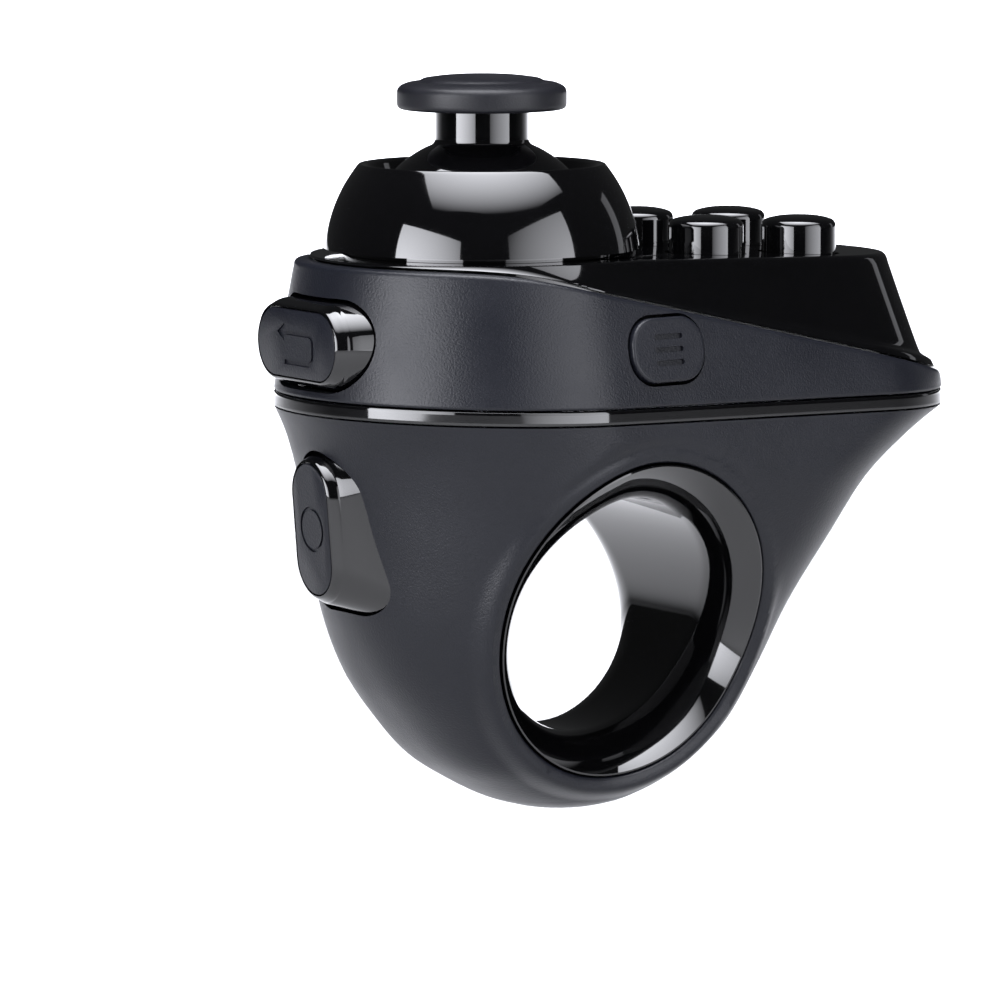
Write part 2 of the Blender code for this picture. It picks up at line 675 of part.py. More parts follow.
def rounded(half_a, half_b, corner, steps=6):
    """Rounded rectangle outline (a, b), counter-clockwise."""
    reach_a, reach_b = half_a - corner, half_b - corner
    points = []
    for quarter in range(4):
        sign_a = 1 if quarter in (0, 3) else -1
        sign_b = 1 if quarter in (0, 1) else -1
        for k in range(steps + 1):
            angle = (quarter + k / steps) * pi / 2
            points.append((sign_a * max(reach_a, 0.02) + corner * cos(angle),
                           sign_b * max(reach_b, 0.02) + corner * sin(angle)))
    return points


def front_ring(spec, x, grow):
    """Section of a front button at x, moved outward by grow."""
    mid_y, mid_z, face, face_corner, face_x, chamfer, end, end_corner, end_x, lean, spread = spec
    wide, deep = chamfer
    if x < face_x + deep:
        share, base = (x - face_x) / deep, 0.0
        half = [a + wide * share for a in face]
        corner = face_corner + wide * share
    else:
        base = (x - face_x - deep) / (end_x - face_x - deep)
        half = [a + wide + (b - a - wide) * base for a, b in zip(face, end)]
        corner = face_corner + wide + (end_corner - face_corner - wide) * base
    fade = (end_x - x) / (end_x - face_x)
    return [(x - lean * b * fade, mid_y + a * (1 - spread * base * b / half[1]), mid_z + b)
            for a, b in rounded(half[0] + grow, half[1] + grow, corner + grow)]


def front_opening(name, spec):
    """The space a front button slides in: its walls, carried on at both ends."""
    wall_x, end_x = spec[4] + spec[5][1], spec[8]
    rings = [front_ring(spec, x, GAP) for x in (wall_x, end_x)]
    outer = [(x - 3.0, y, z) for x, y, z in rings[0]]
    inner = [(x + 3.0, y, z) for x, y, z in rings[1]]
    return skin(name, [outer] + rings + [inner], None)


def make_front_button(label, spec):
    face_x, end_x = spec[4], spec[8]
    wall_x = face_x + spec[5][1]
    places = (face_x, wall_x - 0.15, wall_x + 0.2, end_x)
    body = skin(label + "_button", [front_ring(spec, x, 0.0) for x in places], "gloss")
    edge = front_ring(spec, face_x, -0.12)
    pocket = [[(x + shift, y, z) for x, y, z in edge] for shift in (-1.0, FACE_INLAY)]
    combine(body, skin(label + "_pocket", pocket, None))
    room_x = end_x - 1.0
    room = [front_ring(spec, x, -1.4) for x in (face_x + FACE_INLAY + 1.2, room_x)]
    room.append([(x + 3.0, y, z) for x, y, z in room[-1]])
    stem = block(label + "_stem", (face_x + 1.0, spec[0] - 1.2, spec[1] - 1.2),
                 (end_x, spec[0] + 1.2, spec[1] + 1.2), None)
    hollow = skin(label + "_hollow", room, None)
    combine(hollow, stem)
    combine(body, hollow)
    inlay = front_ring(spec, face_x, -0.12 - GAP * 0.5)
    skin(label + "_button_face", [[(x + shift, y, z) for x, y, z in inlay]
                                  for shift in (0.0, FACE_INLAY - GAP * 0.5)], "matte")


def menu_place():
    x, z = MENU_POINT
    wide = sqrt(1 + SIDE_TAPER ** 2)
    y = -(BELT_HALF * wide - SIDE_TAPER * x - BELT_DRAFT * (z - belt_bottom(x)))
    outward = Vector((SIDE_TAPER, -1.0, BELT_DRAFT)).normalized()
    sideways = Vector((1.0, SIDE_TAPER, 0.0)).normalized()
    upward = outward.cross(sideways)
    turn = Matrix((sideways, upward, outward)).transposed().to_4x4()
    return at(x, y, z, turn)


def menu_solid(name, profile, look):
    """Rounded button along the belt's outward direction, from (height, growth) pairs."""
    rings = []
    for height, grow in profile:
        rings.append([(a, b, height) for a, b in
                      rounded(MENU_HALF[0] + grow, MENU_HALF[1] + grow, MENU_CORNER + grow)])
    made = skin(name, rings, look)
    made.matrix_world = menu_place()
    return made


def make_menu_button():
    menu_solid("menu_button", ((-3.2, 0.0), (0.35, 0.0), (0.5, -0.2)), "matte")


def make_switch(name, middle, half, push, look="nylon"):
    """Small square push switch; push is the direction of its plunger."""
    low = [m - h for m, h in zip(middle, half)]
    high = [m + h for m, h in zip(middle, half)]
    body = block(name, low, high, look, 0.25)
    reach = max(abs(p * h) for p, h in zip(push, half))
    plunger = rod(name + "_plunger", 1.0, reach - 0.5, reach + 0.45, None, at(*middle, along(push)), 14)
    combine(body, plunger, 'UNION')


# ---------------------------------------------------------------- electronics

def make_boards():
    board_points = outline(-18.2, 26.6, 13.5, 10.2)
    board = skin("main_board", [[(x, y, z) for x, y, _, _ in board_points]
                                for z in (BOARD_Z, BOARD_Z + BOARD_T)], "board")
    for k, (x, y, _) in enumerate(POSTS):
        combine(board, rod("board_hole_%d" % (k + 1), 1.0, 20.0, 24.0, None, at(x, y, 0), 16))
    block("front_board", (-16.1, -5.5, 4.4), (-15.2, 5.5, 20.6), "board")


def make_electronics():
    deck = BOARD_Z + BOARD_T + GAP
    make_switch("back_switch", (-17.7, 0.0, deck + 2.6), (1.5, 3.0, 2.6), (-1, 0, 0))
    make_switch("trigger_switch", (-17.85, 0.0, 8.5), (1.45, 3.0, 3.0), (-1, 0, 0))
    make_switch("menu_switch", (0.4, -10.75, deck + 2.0), (3.0, 1.3, 2.0), (0, -1, 0))
    block("battery", (-13.0, -8.3, 16.4), (15.0, 8.3, 20.4), "cell", 0.8)
    block("radio_module", (15.6, -6.5, 18.8), (21.8, 6.5, 21.1), "steel", 0.2)
    block("status_led", (LIGHT_X - 0.8, 9.6, deck), (LIGHT_X + 0.8, 10.7, deck + 1.7), "lens", 0.15)
    rod("light_pipe", 0.7, 11.0, 15.0, "lens", at(LIGHT_X, 0, LIGHT_Z, along((0, 1, 0))), 16)


def make_usb_socket():
    """Metal shell open towards +Y, with the contact tongue inside."""
    half_x, half_z = 3.75, 1.3
    shell = block("usb_socket", (USB_X - half_x, 10.3, USB_Z - half_z),
                  (USB_X + half_x, 15.9, USB_Z + half_z), "steel", 0.3)
    mouth = block("usb_mouth", (USB_X - half_x + 0.35, 11.0, USB_Z - half_z + 0.35),
                  (USB_X + half_x - 0.35, 18.0, USB_Z + half_z - 0.35), None)
    tongue = block("usb_tongue", (USB_X - 2.0, 9.0, USB_Z - 0.25), (USB_X + 2.0, 15.0, USB_Z + 0.35), None)
    combine(mouth, tongue)
    combine(shell, mouth)


def make_screws():
    top = BOARD_Z + BOARD_T + GAP
    for k, (x, y, foot) in enumerate(POSTS):
        low = foot + 4.2
        profile = [(0, low), (0.5, low), (0.7, low + 0.5), (0.7, top), (1.6, top), (1.6, top + 0.5),
                   (1.2, top + 0.85), (0.6, top + 0.95), (0.5, top + 0.45), (0, top + 0.45)]
        turned("board_screw_%d" % (k + 1), profile, "steel", at(x, y, 0), 20)


# ---------------------------------------------------------------- build

def main():
    clear_scene()
    make_finger_liner()
    make_ring_housing()
    make_trim_band()
    make_mid_housing()
    make_top_cover()
    make_dome_cup()
    make_thumb_stick()
    make_tilt_yoke()
    make_sensor_yoke()
    make_joystick_module()
    make_face_buttons()
    make_keypad_mat()
    make_front_button("back", BACK)
    make_front_button("trigger", TRIGGER)
    make_menu_button()
    make_boards()
    make_electronics()
    make_usb_socket()
    make_screws()


main()
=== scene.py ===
"""Looks of the ring-worn thumbstick controller: finer casings, finishes, light and camera."""
import json
from math import acos, atan2, copysign, cos, hypot, pi, radians, sin, sqrt

import bmesh
import bpy
import numpy as np
from mathutils import Matrix, Vector


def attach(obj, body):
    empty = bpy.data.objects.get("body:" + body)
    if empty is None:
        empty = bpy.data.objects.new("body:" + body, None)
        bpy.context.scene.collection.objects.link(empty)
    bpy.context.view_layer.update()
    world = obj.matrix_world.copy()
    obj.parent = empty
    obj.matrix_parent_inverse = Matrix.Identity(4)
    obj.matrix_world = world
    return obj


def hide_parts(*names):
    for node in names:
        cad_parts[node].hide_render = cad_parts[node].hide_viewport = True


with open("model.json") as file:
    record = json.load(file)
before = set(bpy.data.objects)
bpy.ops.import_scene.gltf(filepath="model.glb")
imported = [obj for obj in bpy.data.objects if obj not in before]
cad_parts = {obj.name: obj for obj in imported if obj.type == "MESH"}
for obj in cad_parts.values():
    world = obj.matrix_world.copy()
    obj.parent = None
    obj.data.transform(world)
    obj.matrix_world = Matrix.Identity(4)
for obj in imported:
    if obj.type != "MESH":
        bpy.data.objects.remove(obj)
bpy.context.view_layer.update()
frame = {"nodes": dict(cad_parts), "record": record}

MM = 0.001
GAP = 0.3

# ---------------------------------------------------------------- sizes shared with the CAD, mm

BORE_R, MOUTH_R, MOUTH_NARROW, MOUTH_DEPTH, LINER_WALL = 10.8, 14.05, 0.5, 6.0, 1.2
MOUTH_POWER = 2.2
TUNNEL_R, TUNNEL_MID_R = 15.6, 13.3
WALL = 1.6
NOSE_X, BELT_R, BELT_DRAFT, TAIL_TIP, BELT_HALF, SIDE_TAPER = -7.9, 18.4, 0.165, 38.2, 17.38, 0.163
TRIM_TOP, TRIM_SLOPE, TRIM_TALL, SEAM = 19.1, -0.025, 1.1, 0.2
BELT_TOP_FRONT, BELT_KNEE_X, BELT_FALL = 31.5, -14.4, 0.229
PLATE_Z, PLATE_SLOPE, PLATE_WALL = 31.9, -0.035, 1.5
PLATE_FRONT_R, PLATE_TAIL_R, PLATE_TAIL_TIP = 15.1, 11.2, 32.4
PIVOT_Z, BALL_R, BALL_WALL, BALL_EDGE = 31.3, 11.1, 1.2, 1.29
DOME_R, DOME_WALL, DOME_CENTRE_Z, DOME_BASE_Z, DOME_RIM_Z = 14.0, 1.5, 31.0, 32.4, 39.8
NECK_R, CAP_R, CAP_BASE_Z, CAP_TOP_Z, SHAFT_R = 4.15, 7.5, 44.6, 47.7, 1.2
BUTTON_R, BUTTON_CENTRE_X, BUTTON_PITCH_X, BUTTON_PITCH_Y, BUTTON_TALL = 3.35, 16.6, 9.8, 11.8, 3.4

STATIONS = (
    (-17.8, -3.0, 1.6, 2.2, 0.0, 2.0, 2.0),
    (-17.5, -4.6, 3.4, 4.8, 0.0, 2.1, 2.1),
    (-16.7, -7.2, 6.6, 7.0, 0.01, 2.2, 2.1),
    (-15.1, -10.3, 10.2, 8.4, 0.05, 2.4, 2.1),
    (-13.0, -13.4, 13.2, 9.5, 0.10, 2.6, 2.15),
    (-10.0, -16.2, 16.1, 10.6, 0.15, 2.5, 2.2),
    (-5.5, -19.4, 18.8, 12.1, 0.19, 2.35, 2.2),
    (0.0, -21.7, 21.6, 14.1, 0.2, 2.15, 2.2),
    (6.0, -23.0, 25.3, 16.0, 0.185, 2.0, 2.3),
    (11.5, -23.9, 29.4, 17.0, SIDE_TAPER, 2.0, 2.2),
    (15.5, -25.0, 34.2, 17.3, SIDE_TAPER, 2.0, 2.1),
    (18.1, -26.2, 38.1, BELT_HALF, SIDE_TAPER, 2.0, 2.0),
)

BACK = (0.0, 24.7, (7.05, 3.2), 3.2, -26.7, (0.55, 1.15), (8.6, 3.95), 3.75, -20.8, 0.0, 0.0)
TRIGGER = (0.0, 8.35, (3.2, 6.05), 3.2, -25.2, (0.55, 0.95), (7.2, 7.7), 3.2, -20.5, 0.08, 0.0)
MENU_HALF, MENU_CORNER, MENU_POINT = (4.1, 2.85), 2.55, (0.9, 24.2)
USB_X, USB_Z, LIGHT_X, LIGHT_Z = -0.4, 23.8, 9.2, 23.15

POSTS = ((24.7, 0.0, 9.6), (-8.8, 11.2, 12.0), (-8.8, -11.2, 12.0))
BOARD_Z, FACE_INLAY, LINER_LEAD = 21.4, 0.6, 0.15

LIP_WIDE, LIP_BLEND, LIP_ROUND, SEAT_GAP = 1.05, 1.3, 0.4, 0.16      # rolled edge round the finger hole
LIP_CROWN = 0.22
TAIL_STEPS, SIDE_STEPS, NOSE_STEPS = 30, 20, 56
TURN_STEPS = 128
SHARP_ANGLE = 0.55


# ---------------------------------------------------------------- mesh helpers

def new_piece(bm, name):
    """Turn a bmesh into a smooth object with outward faces."""
    bmesh.ops.remove_doubles(bm, verts=bm.verts, dist=1e-7)
    bmesh.ops.recalc_face_normals(bm, faces=bm.faces)
    mesh = bpy.data.meshes.new(name)
    bm.to_mesh(mesh)
    bm.free()
    mesh.shade_smooth()
    mesh.set_sharp_from_angle(angle=SHARP_ANGLE)
    made = bpy.data.objects.new(name, mesh)
    bpy.context.scene.collection.objects.link(made)
    return made


def skin(name, rings, closed=False):
    """Faces between rings of equal length; closed joins the last ring to the first."""
    bm = bmesh.new()
    rows = [[bm.verts.new(Vector(point) * MM) for point in ring] for ring in rings]
    count = len(rows[0])
    pairs = list(zip(rows, rows[1:]))
    if closed:
        pairs.append((rows[-1], rows[0]))
    for low, high in pairs:
        for k in range(count):
            n = (k + 1) % count
            bm.faces.new((low[k], low[n], high[n], high[k]))
    if not closed:
        bm.faces.new(list(reversed(rows[0])))
        bm.faces.new(rows[-1])
    return new_piece(bm, name)


def turned(name, profile, place=Matrix.Identity(4), steps=TURN_STEPS):
    """Turn a closed (radius, height) profile about Z; points at radius 0 are poles."""
    bm = bmesh.new()
    rows = []
    for radius, height in profile:
        if radius < 1e-6:
            rows.append([bm.verts.new((0.0, 0.0, height * MM))])
            continue
        rows.append([bm.verts.new((radius * MM * cos(2 * pi * k / steps),
                                   radius * MM * sin(2 * pi * k / steps), height * MM))
                     for k in range(steps)])
    for low, high in zip(rows, rows[1:] + rows[:1]):
        if len(low) == 1 and len(high) == 1:
            continue
        for k in range(steps):
            n = (k + 1) % steps
            if len(low) == 1:
                bm.faces.new((low[0], high[n], high[k]))
            elif len(high) == 1:
                bm.faces.new((low[k], low[n], high[0]))
            else:
                bm.faces.new((low[k], low[n], high[n], high[k]))
    made = new_piece(bm, name)
    made.data.transform(place)
    return made


def soft(points, steps=6):
    """Round the corners of a line of (a, b, radius) points; a missing radius keeps the corner."""
    made = []
    for k, point in enumerate(points):
        here = Vector(point[:2])
        radius = point[2] if len(point) > 2 else 0.0
        if radius <= 0.0 or k in (0, len(points) - 1):
            made.append(tuple(here))
            continue
        before, after = Vector(points[k - 1][:2]), Vector(points[k + 1][:2])
        reach = min(radius, 0.49 * (before - here).length, 0.49 * (after - here).length)
        start = here + (before - here).normalized() * reach
        end = here + (after - here).normalized() * reach
        for m in range(steps + 1):
            t = m / steps
            made.append(tuple(start * (1 - t) ** 2 + here * 2 * t * (1 - t) + end * t * t))
    return made


def arc(radius, start, end, steps, centre=0.0):
    """Points (radius, height) of a circular arc; angles are polar angles from +Z."""
    return [(radius * sin(start + (end - start) * k / steps),
             centre + radius * cos(start + (end - start) * k / steps)) for k in range(steps + 1)]


def at(x, y, z, turn=None):
    """Place in millimetres, with a turn if one is given."""
    place = Matrix.Translation(Vector((x, y, z)) * MM)
    return place @ turn if turn else place


def along(direction):
    """Turn that brings +Z to the direction."""
    return Vector((0, 0, 1)).rotation_difference(Vector(direction)).to_matrix().to_4x4()


def rod(name, radius, low, high, place=Matrix.Identity(4), steps=96):
    """Round bar from low to high."""
    return turned(name, [(0, low), (radius, low), (radius, high), (0, high)], place, steps)


def cut(target, *tools, mode='DIFFERENCE'):
    """Combine each tool with the target and remove the tool."""
    for tool in tools:
        step = target.modifiers.new("cut", 'BOOLEAN')
        step.operation = mode
        step.solver = 'EXACT'
        step.object = tool
    graph = bpy.context.evaluated_depsgraph_get()
    graph.update()
    mesh = bpy.data.meshes.new_from_object(target.evaluated_get(graph))
    target.modifiers.clear()
    target.data = mesh
    mesh.set_sharp_from_angle(angle=SHARP_ANGLE)
    for tool in tools:
        bpy.data.objects.remove(tool, do_unlink=True)
    return target


def rounded(half_a, half_b, corner, steps=24):
    """Rounded rectangle outline (a, b), counter-clockwise."""
    reach_a, reach_b = max(half_a - corner, 0.02), max(half_b - corner, 0.02)
    points = []
    for quarter in range(4):
        sign_a = 1 if quarter in (0, 3) else -1
        sign_b = 1 if quarter in (0, 1) else -1
        for k in range(steps + 1):
            angle = (quarter + k / steps) * pi / 2
            points.append((sign_a * reach_a + corner * cos(angle), sign_b * reach_b + corner * sin(angle)))
    return points


def stroke(line, half):
    """Outline of a flat line of half width half through 2-D points, with square ends."""
    left, right = [], []
    for k, point in enumerate(line):
        here = Vector(point)
        ahead = Vector(line[min(k + 1, len(line) - 1)]) - Vector(line[max(k - 1, 0)])
        side = Vector((-ahead.y, ahead.x)).normalized() * half
        left.append(tuple(here + side))
        right.append(tuple(here - side))
    return left + list(reversed(right))


# ---------------------------------------------------------------- body outlines, as in the CAD

def smooth_between(table, steps):
    """Rows of the table with smooth rows worked out between them."""
    rows = []
    last = len(table) - 1
    for i in range(last):
        p0, p1, p2, p3 = (table[max(i - 1, 0)], table[i], table[i + 1], table[min(i + 2, last)])
        for k in range(steps):
            t = k / steps
            rows.append(tuple(
                0.5 * (2 * b + (c - a) * t + (2 * a - 5 * b + 4 * c - d) * t * t
                       + (3 * b - a - 3 * c + d) * t ** 3)
                for a, b, c, d in zip(p0, p1, p2, p3)))
    rows.append(table[-1])
    return rows


def bent(angle, square):
    """Cosine and sine of an outline that is squarer than a circle when square is over 2."""
    power = 2.0 / square
    return (abs(cos(angle)) ** power * (1 if cos(angle) >= 0 else -1), abs(sin(angle)) ** power)


def outline(front, back, nose_r, tail_r, nose_square=2.0, tail_square=2.0):
    """Egg outline seen from above, as (x, y, outward x, outward y), from the tail tip round."""
    room = 0.5 * (back - front) - 0.02
    nose_a, tail_a = min(nose_r, room), min(tail_r, room)
    nose_x, tail_x = front + nose_a, back - tail_a
    lean = max(-0.95, min(0.95, (nose_r - tail_r) / max(tail_x - nose_x, 0.01)))
    turn = acos(lean)
    half = []
    for k in range(TAIL_STEPS + 1):
        angle = turn * k / TAIL_STEPS
        a, b = bent(angle, tail_square)
        half.append((tail_x + tail_a * a, tail_r * b, cos(angle), sin(angle)))
    a, b = bent(turn, nose_square)
    nose_start = (nose_x + nose_a * a, nose_r * b)
    for k in range(1, SIDE_STEPS):
        t = k / SIDE_STEPS
        half.append((half[TAIL_STEPS][0] * (1 - t) + nose_start[0] * t,
                     half[TAIL_STEPS][1] * (1 - t) + nose_start[1] * t, cos(turn), sin(turn)))
    for k in range(NOSE_STEPS + 1):
        angle = turn + (pi - turn) * k / NOSE_STEPS
        a, b = bent(angle, nose_square)
        half.append((nose_x + nose_a * a, nose_r * b, cos(angle), sin(angle)))
    mirrored = [(x, -y, nx, -ny) for x, y, nx, ny in reversed(half[1:-1])]
    return half + mirrored


def end_radii(front, back, width, taper):
    """End radii of an outline whose sides taper from a half width at x = 0."""
    return (width - taper * front) / (1 + taper), (width - taper * back) / (1 - taper)


def trim_outline():
    """Outline that the band, belt and cover share."""
    nose_r, tail_r = end_radii(NOSE_X - BELT_R, TAIL_TIP, BELT_HALF, SIDE_TAPER)
    return outline(NOSE_X - BELT_R, TAIL_TIP, nose_r, tail_r)


TRIM = trim_outline()


def trim_top(x):
    """Height of the band's upper face."""
    return TRIM_TOP + TRIM_SLOPE * x


def trim_bottom(x):
    return trim_top(x) - TRIM_TALL


def belt_bottom(x):
    return trim_top(x) + SEAM


def belt_top(x):
    """Height of the belt's upper edge: level at the front, then falling to the tail."""
    drop = BELT_FALL * (x - BELT_KNEE_X)
    return BELT_TOP_FRONT - 0.5 * (drop + sqrt(drop * drop + (5.0 * BELT_FALL) ** 2)) + 0.1


def plate_top(x):
    return PLATE_Z + PLATE_SLOPE * max(x, 0.0)


def inset_ring(inset, height):
    """Shared outline moved inward by inset, at height(x)."""
    return [(x - nx * inset, y - ny * inset, height(x)) for x, y, nx, ny in TRIM]


def belt_ring(level, extra):
    """Ring on the belt at a share of its height; extra(x, height in mm, depth in mm) moves it in."""
    ring = []
    for x, y, nx, ny in TRIM:
        tall = belt_top(x) - belt_bottom(x)
        more = extra(x, level * tall, (1 - level) * tall) if callable(extra) else extra
        inset = BELT_DRAFT * level * tall - 0.35 * level * (1 - level) + more
        ring.append((x - nx * inset, y - ny * inset, belt_bottom(x) + level * tall))
    return ring


def body_outline(row):
    """Outline of the lower casing at one station row."""
    z, front, back, width, taper, nose_square, tail_square = row
    nose_r, tail_r = end_radii(front, back, width, taper)
    return outline(front, back, nose_r, tail_r, nose_square, tail_square)


def side_table():
    """Half width of the lower body as a grid over z and x."""
    xs = np.linspace(-18.0, 18.0, 145)
    zs, rows = [], []
    for row in smooth_between(STATIONS, 12):
        half = sorted((x, y) for x, y, _, _ in body_outline(row) if y >= 0.0)
        zs.append(row[0])
        rows.append(np.interp(xs, [p[0] for p in half], [p[1] for p in half]))
    return xs, np.array(zs), np.array(rows)


SIDE_X, SIDE_Z, SIDE_Y = side_table()


def side_y(x, z):
    """Half width of the lower body at a place on its side."""
    k = min(max(int(np.searchsorted(SIDE_Z, z)), 1), len(SIDE_Z) - 1)
    t = (z - SIDE_Z[k - 1]) / (SIDE_Z[k] - SIDE_Z[k - 1])
    low, high = (float(np.interp(x, SIDE_X, SIDE_Y[m])) for m in (k - 1, k))
    return low + (high - low) * min(max(t, 0.0), 1.0)


def mouth_radius(turn):
    """Radius of the finger hole's mouth, a little narrower front and back."""
    return MOUTH_R - MOUTH_NARROW * cos(turn) ** 2


MOUTH_TURNS = np.linspace(-pi, pi, 361)
MOUTH_YS = np.array([side_y(mouth_radius(t) * cos(t), mouth_radius(t) * sin(t)) - 0.12
                     for t in MOUTH_TURNS])


def mouth_y(turn):
    """How far out the mouth lies at a turn round the hole."""
    return float(np.interp((turn + pi) % (2 * pi) - pi, MOUTH_TURNS, MOUTH_YS))


# ---------------------------------------------------------------- lower casing

def eased(t):
    """Smooth step from 0 to 1."""
    t = min(max(t, 0.0), 1.0)
    return t * t * (3 - 2 * t)


def with_lip(x, y, z):
    """Shape the side into an even, slightly crowned lip round the finger hole."""
    turn = atan2(z, x)
    flat = mouth_y(turn)
    if abs(y) < 0.5 * flat:
        return x, y, z
    out = hypot(x, z) - mouth_radius(turn) - LINER_LEAD - SEAT_GAP
    hold = (1 - eased((out - LIP_WIDE) / LIP_BLEND)) * eased((abs(y) / flat - 0.5) / 0.3)
    crown = LIP_CROWN * max(0.0, 1 - ((out - 0.35) / 1.15) ** 2) ** 2
    return x, copysign((flat + crown) * hold + abs(y) * (1 - hold), y), z


def body_rings(inset, lowest=-99.0, fine=13):
    """Rings up the lower casing, moved inward by inset; only the outside carries the lip."""
    rings = []
    for row in smooth_between(STATIONS, fine):
        z = row[0]
        if z < lowest:
            continue
        share = max(z, 0.0) / STATIONS[-1][0]
        ring = []
        for x, y, nx, ny in body_outline(row):
            lift = (trim_bottom(x) - SEAM - STATIONS[-1][0]) * share * share
            point = (x - nx * inset, y - ny * inset, z + lift)
            ring.append(point if inset else with_lip(*point))
        rings.append(ring)
    rings.append([(x * 0.985 + NOSE_X * 0.015, y * 0.985, z) for x, y, z in rings[-1]])
    return rings


def seat_cutter(side, steps=240):
    """Hole for the liner on one side, with a rolled edge at its mouth."""
    profile = [(LIP_ROUND + 3.0, 6.0), (LIP_ROUND + 3.0, 0.52)]
    for k in range(9):
        t = radians(80) * (1 - k / 8)
        profile.append((LIP_ROUND * (1 - cos(t)), -LIP_ROUND * (1 - sin(t))))
    profile += [(0.0, -1.0), (0.0, -2.4), (-9.0, -6.4), (-9.0, -8.0)]
    rings = []
    for out, rise in profile:
        ring = []
        for k in range(steps):
            turn = 2 * pi * k / steps
            radius = mouth_radius(turn) + LINER_LEAD + SEAT_GAP + out
            if out < -5.0:
                radius = BORE_R + LINER_WALL + GAP
            ring.append((radius * cos(turn), side * (mouth_y(turn) + rise), radius * sin(turn)))
        rings.append(ring)
    rings.append([(x, -side * 0.5, z) for x, _, z in rings[-1]])
    return skin("seat_cutter", rings)


def front_ring(spec, x, grow):
    """Outline of a front button at depth x, larger by grow."""
    mid_y, mid_z, face, face_corner, face_x, chamfer, end, end_corner, end_x, lean, spread = spec
    wide, deep = chamfer
    if x < face_x + deep:
        share, base = (x - face_x) / deep, 0.0
        half = [a + wide * share for a in face]
        corner = face_corner + wide * share
    else:
        base = (x - face_x - deep) / (end_x - face_x - deep)
        half = [a + wide + (b - a - wide) * base for a, b in zip(face, end)]
        corner = face_corner + wide + (end_corner - face_corner - wide) * base
    fade = (end_x - x) / (end_x - face_x)
    return [(x - lean * b * fade, mid_y + a * (1 - spread * base * b / half[1]), mid_z + b)
            for a, b in rounded(half[0] + grow, half[1] + grow, corner + grow)]


def front_cutter(spec):
    """Hole for a front button, with a gap all round."""
    wall_x, end_x = spec[4] + spec[5][1], spec[8]
    rings = [front_ring(spec, x, GAP) for x in (wall_x, 0.5 * (wall_x + end_x), end_x)]
    outer = [(x - 3.0, y, z) for x, y, z in rings[0]]
    inner = [(x + 3.0, y, z) for x, y, z in rings[-1]]
    return skin("front_cutter", [outer] + rings + [inner])


def housing_room():
    """Hollow of the lower casing, open at the top; a thick sleeve round the finger hole stays."""
    rings = body_rings(WALL, -8.0, 3)[:-1]
    room = skin("housing_room", rings + [[(x, y, z + 3.0) for x, y, z in rings[-1]]])
    line = [(0, -30.0), (TUNNEL_R, -30.0), (TUNNEL_R, -7.5), (TUNNEL_MID_R, -4.5),
            (TUNNEL_MID_R, 4.5), (TUNNEL_R, 7.5), (TUNNEL_R, 30.0), (0, 30.0)]
    return cut(room, turned("tunnel_wall", line, along((0, 1, 0)), 72))


def ring_housing():
    """Lower casing: shell, screw posts, liner seats and the trigger's hole."""
    made = skin("ring_housing_shell", body_rings(0.0))
    cut(made, housing_room())
    for x, y, foot in POSTS:
        cut(made, rod("post", 2.0, foot, BOARD_Z - GAP, at(x, y, 0), 32), mode='UNION')
    pilots = [rod("pilot", 1.0, foot + 3.5, BOARD_Z + 1.0, at(x, y, 0), 24) for x, y, foot in POSTS]
    return cut(made, seat_cutter(-1), seat_cutter(1), front_cutter(TRIGGER), *pilots)


def liner_point(share, off, turn):
    """Radius and depth on the liner's bore side, moved outward by off along its normal."""
    mouth = mouth_radius(turn)
    slope = MOUTH_POWER * (1 - share) ** (MOUTH_POWER - 1) * (mouth - BORE_R) / MOUTH_DEPTH
    length = sqrt(1 + slope * slope)
    radius = BORE_R + (mouth - BORE_R) * (1 - share) ** MOUTH_POWER + off / length
    return min(radius, mouth + LINER_LEAD), MOUTH_DEPTH * share + off * slope / length


def finger_liner(steps=240):
    """Flared sleeve: the bore side from mouth to mouth, and back along the outside."""
    shares = [(k / 26) ** 1.5 for k in range(27)]

    def ring(side, share, off, edge=False):
        made = []
        for k in range(steps):
            turn = 2 * pi * k / steps
            radius, depth = liner_point(share, off, turn)
            if edge:
                radius, depth = mouth_radius(turn) + LINER_LEAD, 0.03
            made.append((radius * cos(turn), side * (mouth_y(turn) - depth), radius * sin(turn)))
        return made

    inner = [ring(-1, share, 0.0) for share in shares] + [ring(1, share, 0.0) for share in reversed(shares)]
    outer = [ring(-1, 0.0, 0.0, True)] + [ring(-1, share, LINER_WALL) for share in shares[::2]]
    outer += [ring(1, share, LINER_WALL) for share in reversed(shares[::2])] + [ring(1, 0.0, 0.0, True)]
    return skin("finger_liner_sleeve", inner + list(reversed(outer)), closed=True)


# ---------------------------------------------------------------- trim, belt and cover

def corner_inset(distance, radius):
    """How far a rounded edge of this radius stands in, at a distance from the edge."""
    if distance >= radius:
        return 0.0
    return radius - sqrt(max(radius * radius - (radius - distance) ** 2, 0.0))


def trim_band():
    """Thin glossy band with rounded edges."""
    edge = 0.18
    tall = TRIM_TALL + 0.2
    rings = [inset_ring(1.9, trim_bottom)]
    for k in range(13):
        share = k / 12
        height = tall * (0.5 - 0.5 * cos(pi * share))
        inset = max(corner_inset(height, edge), corner_inset(tall - height, edge))
        rings.append(inset_ring(inset, lambda x, h=height: trim_bottom(x) - 0.1 + h))
    rings.append(inset_ring(1.9, trim_top))
    return skin("trim_band_gloss", rings, closed=True)


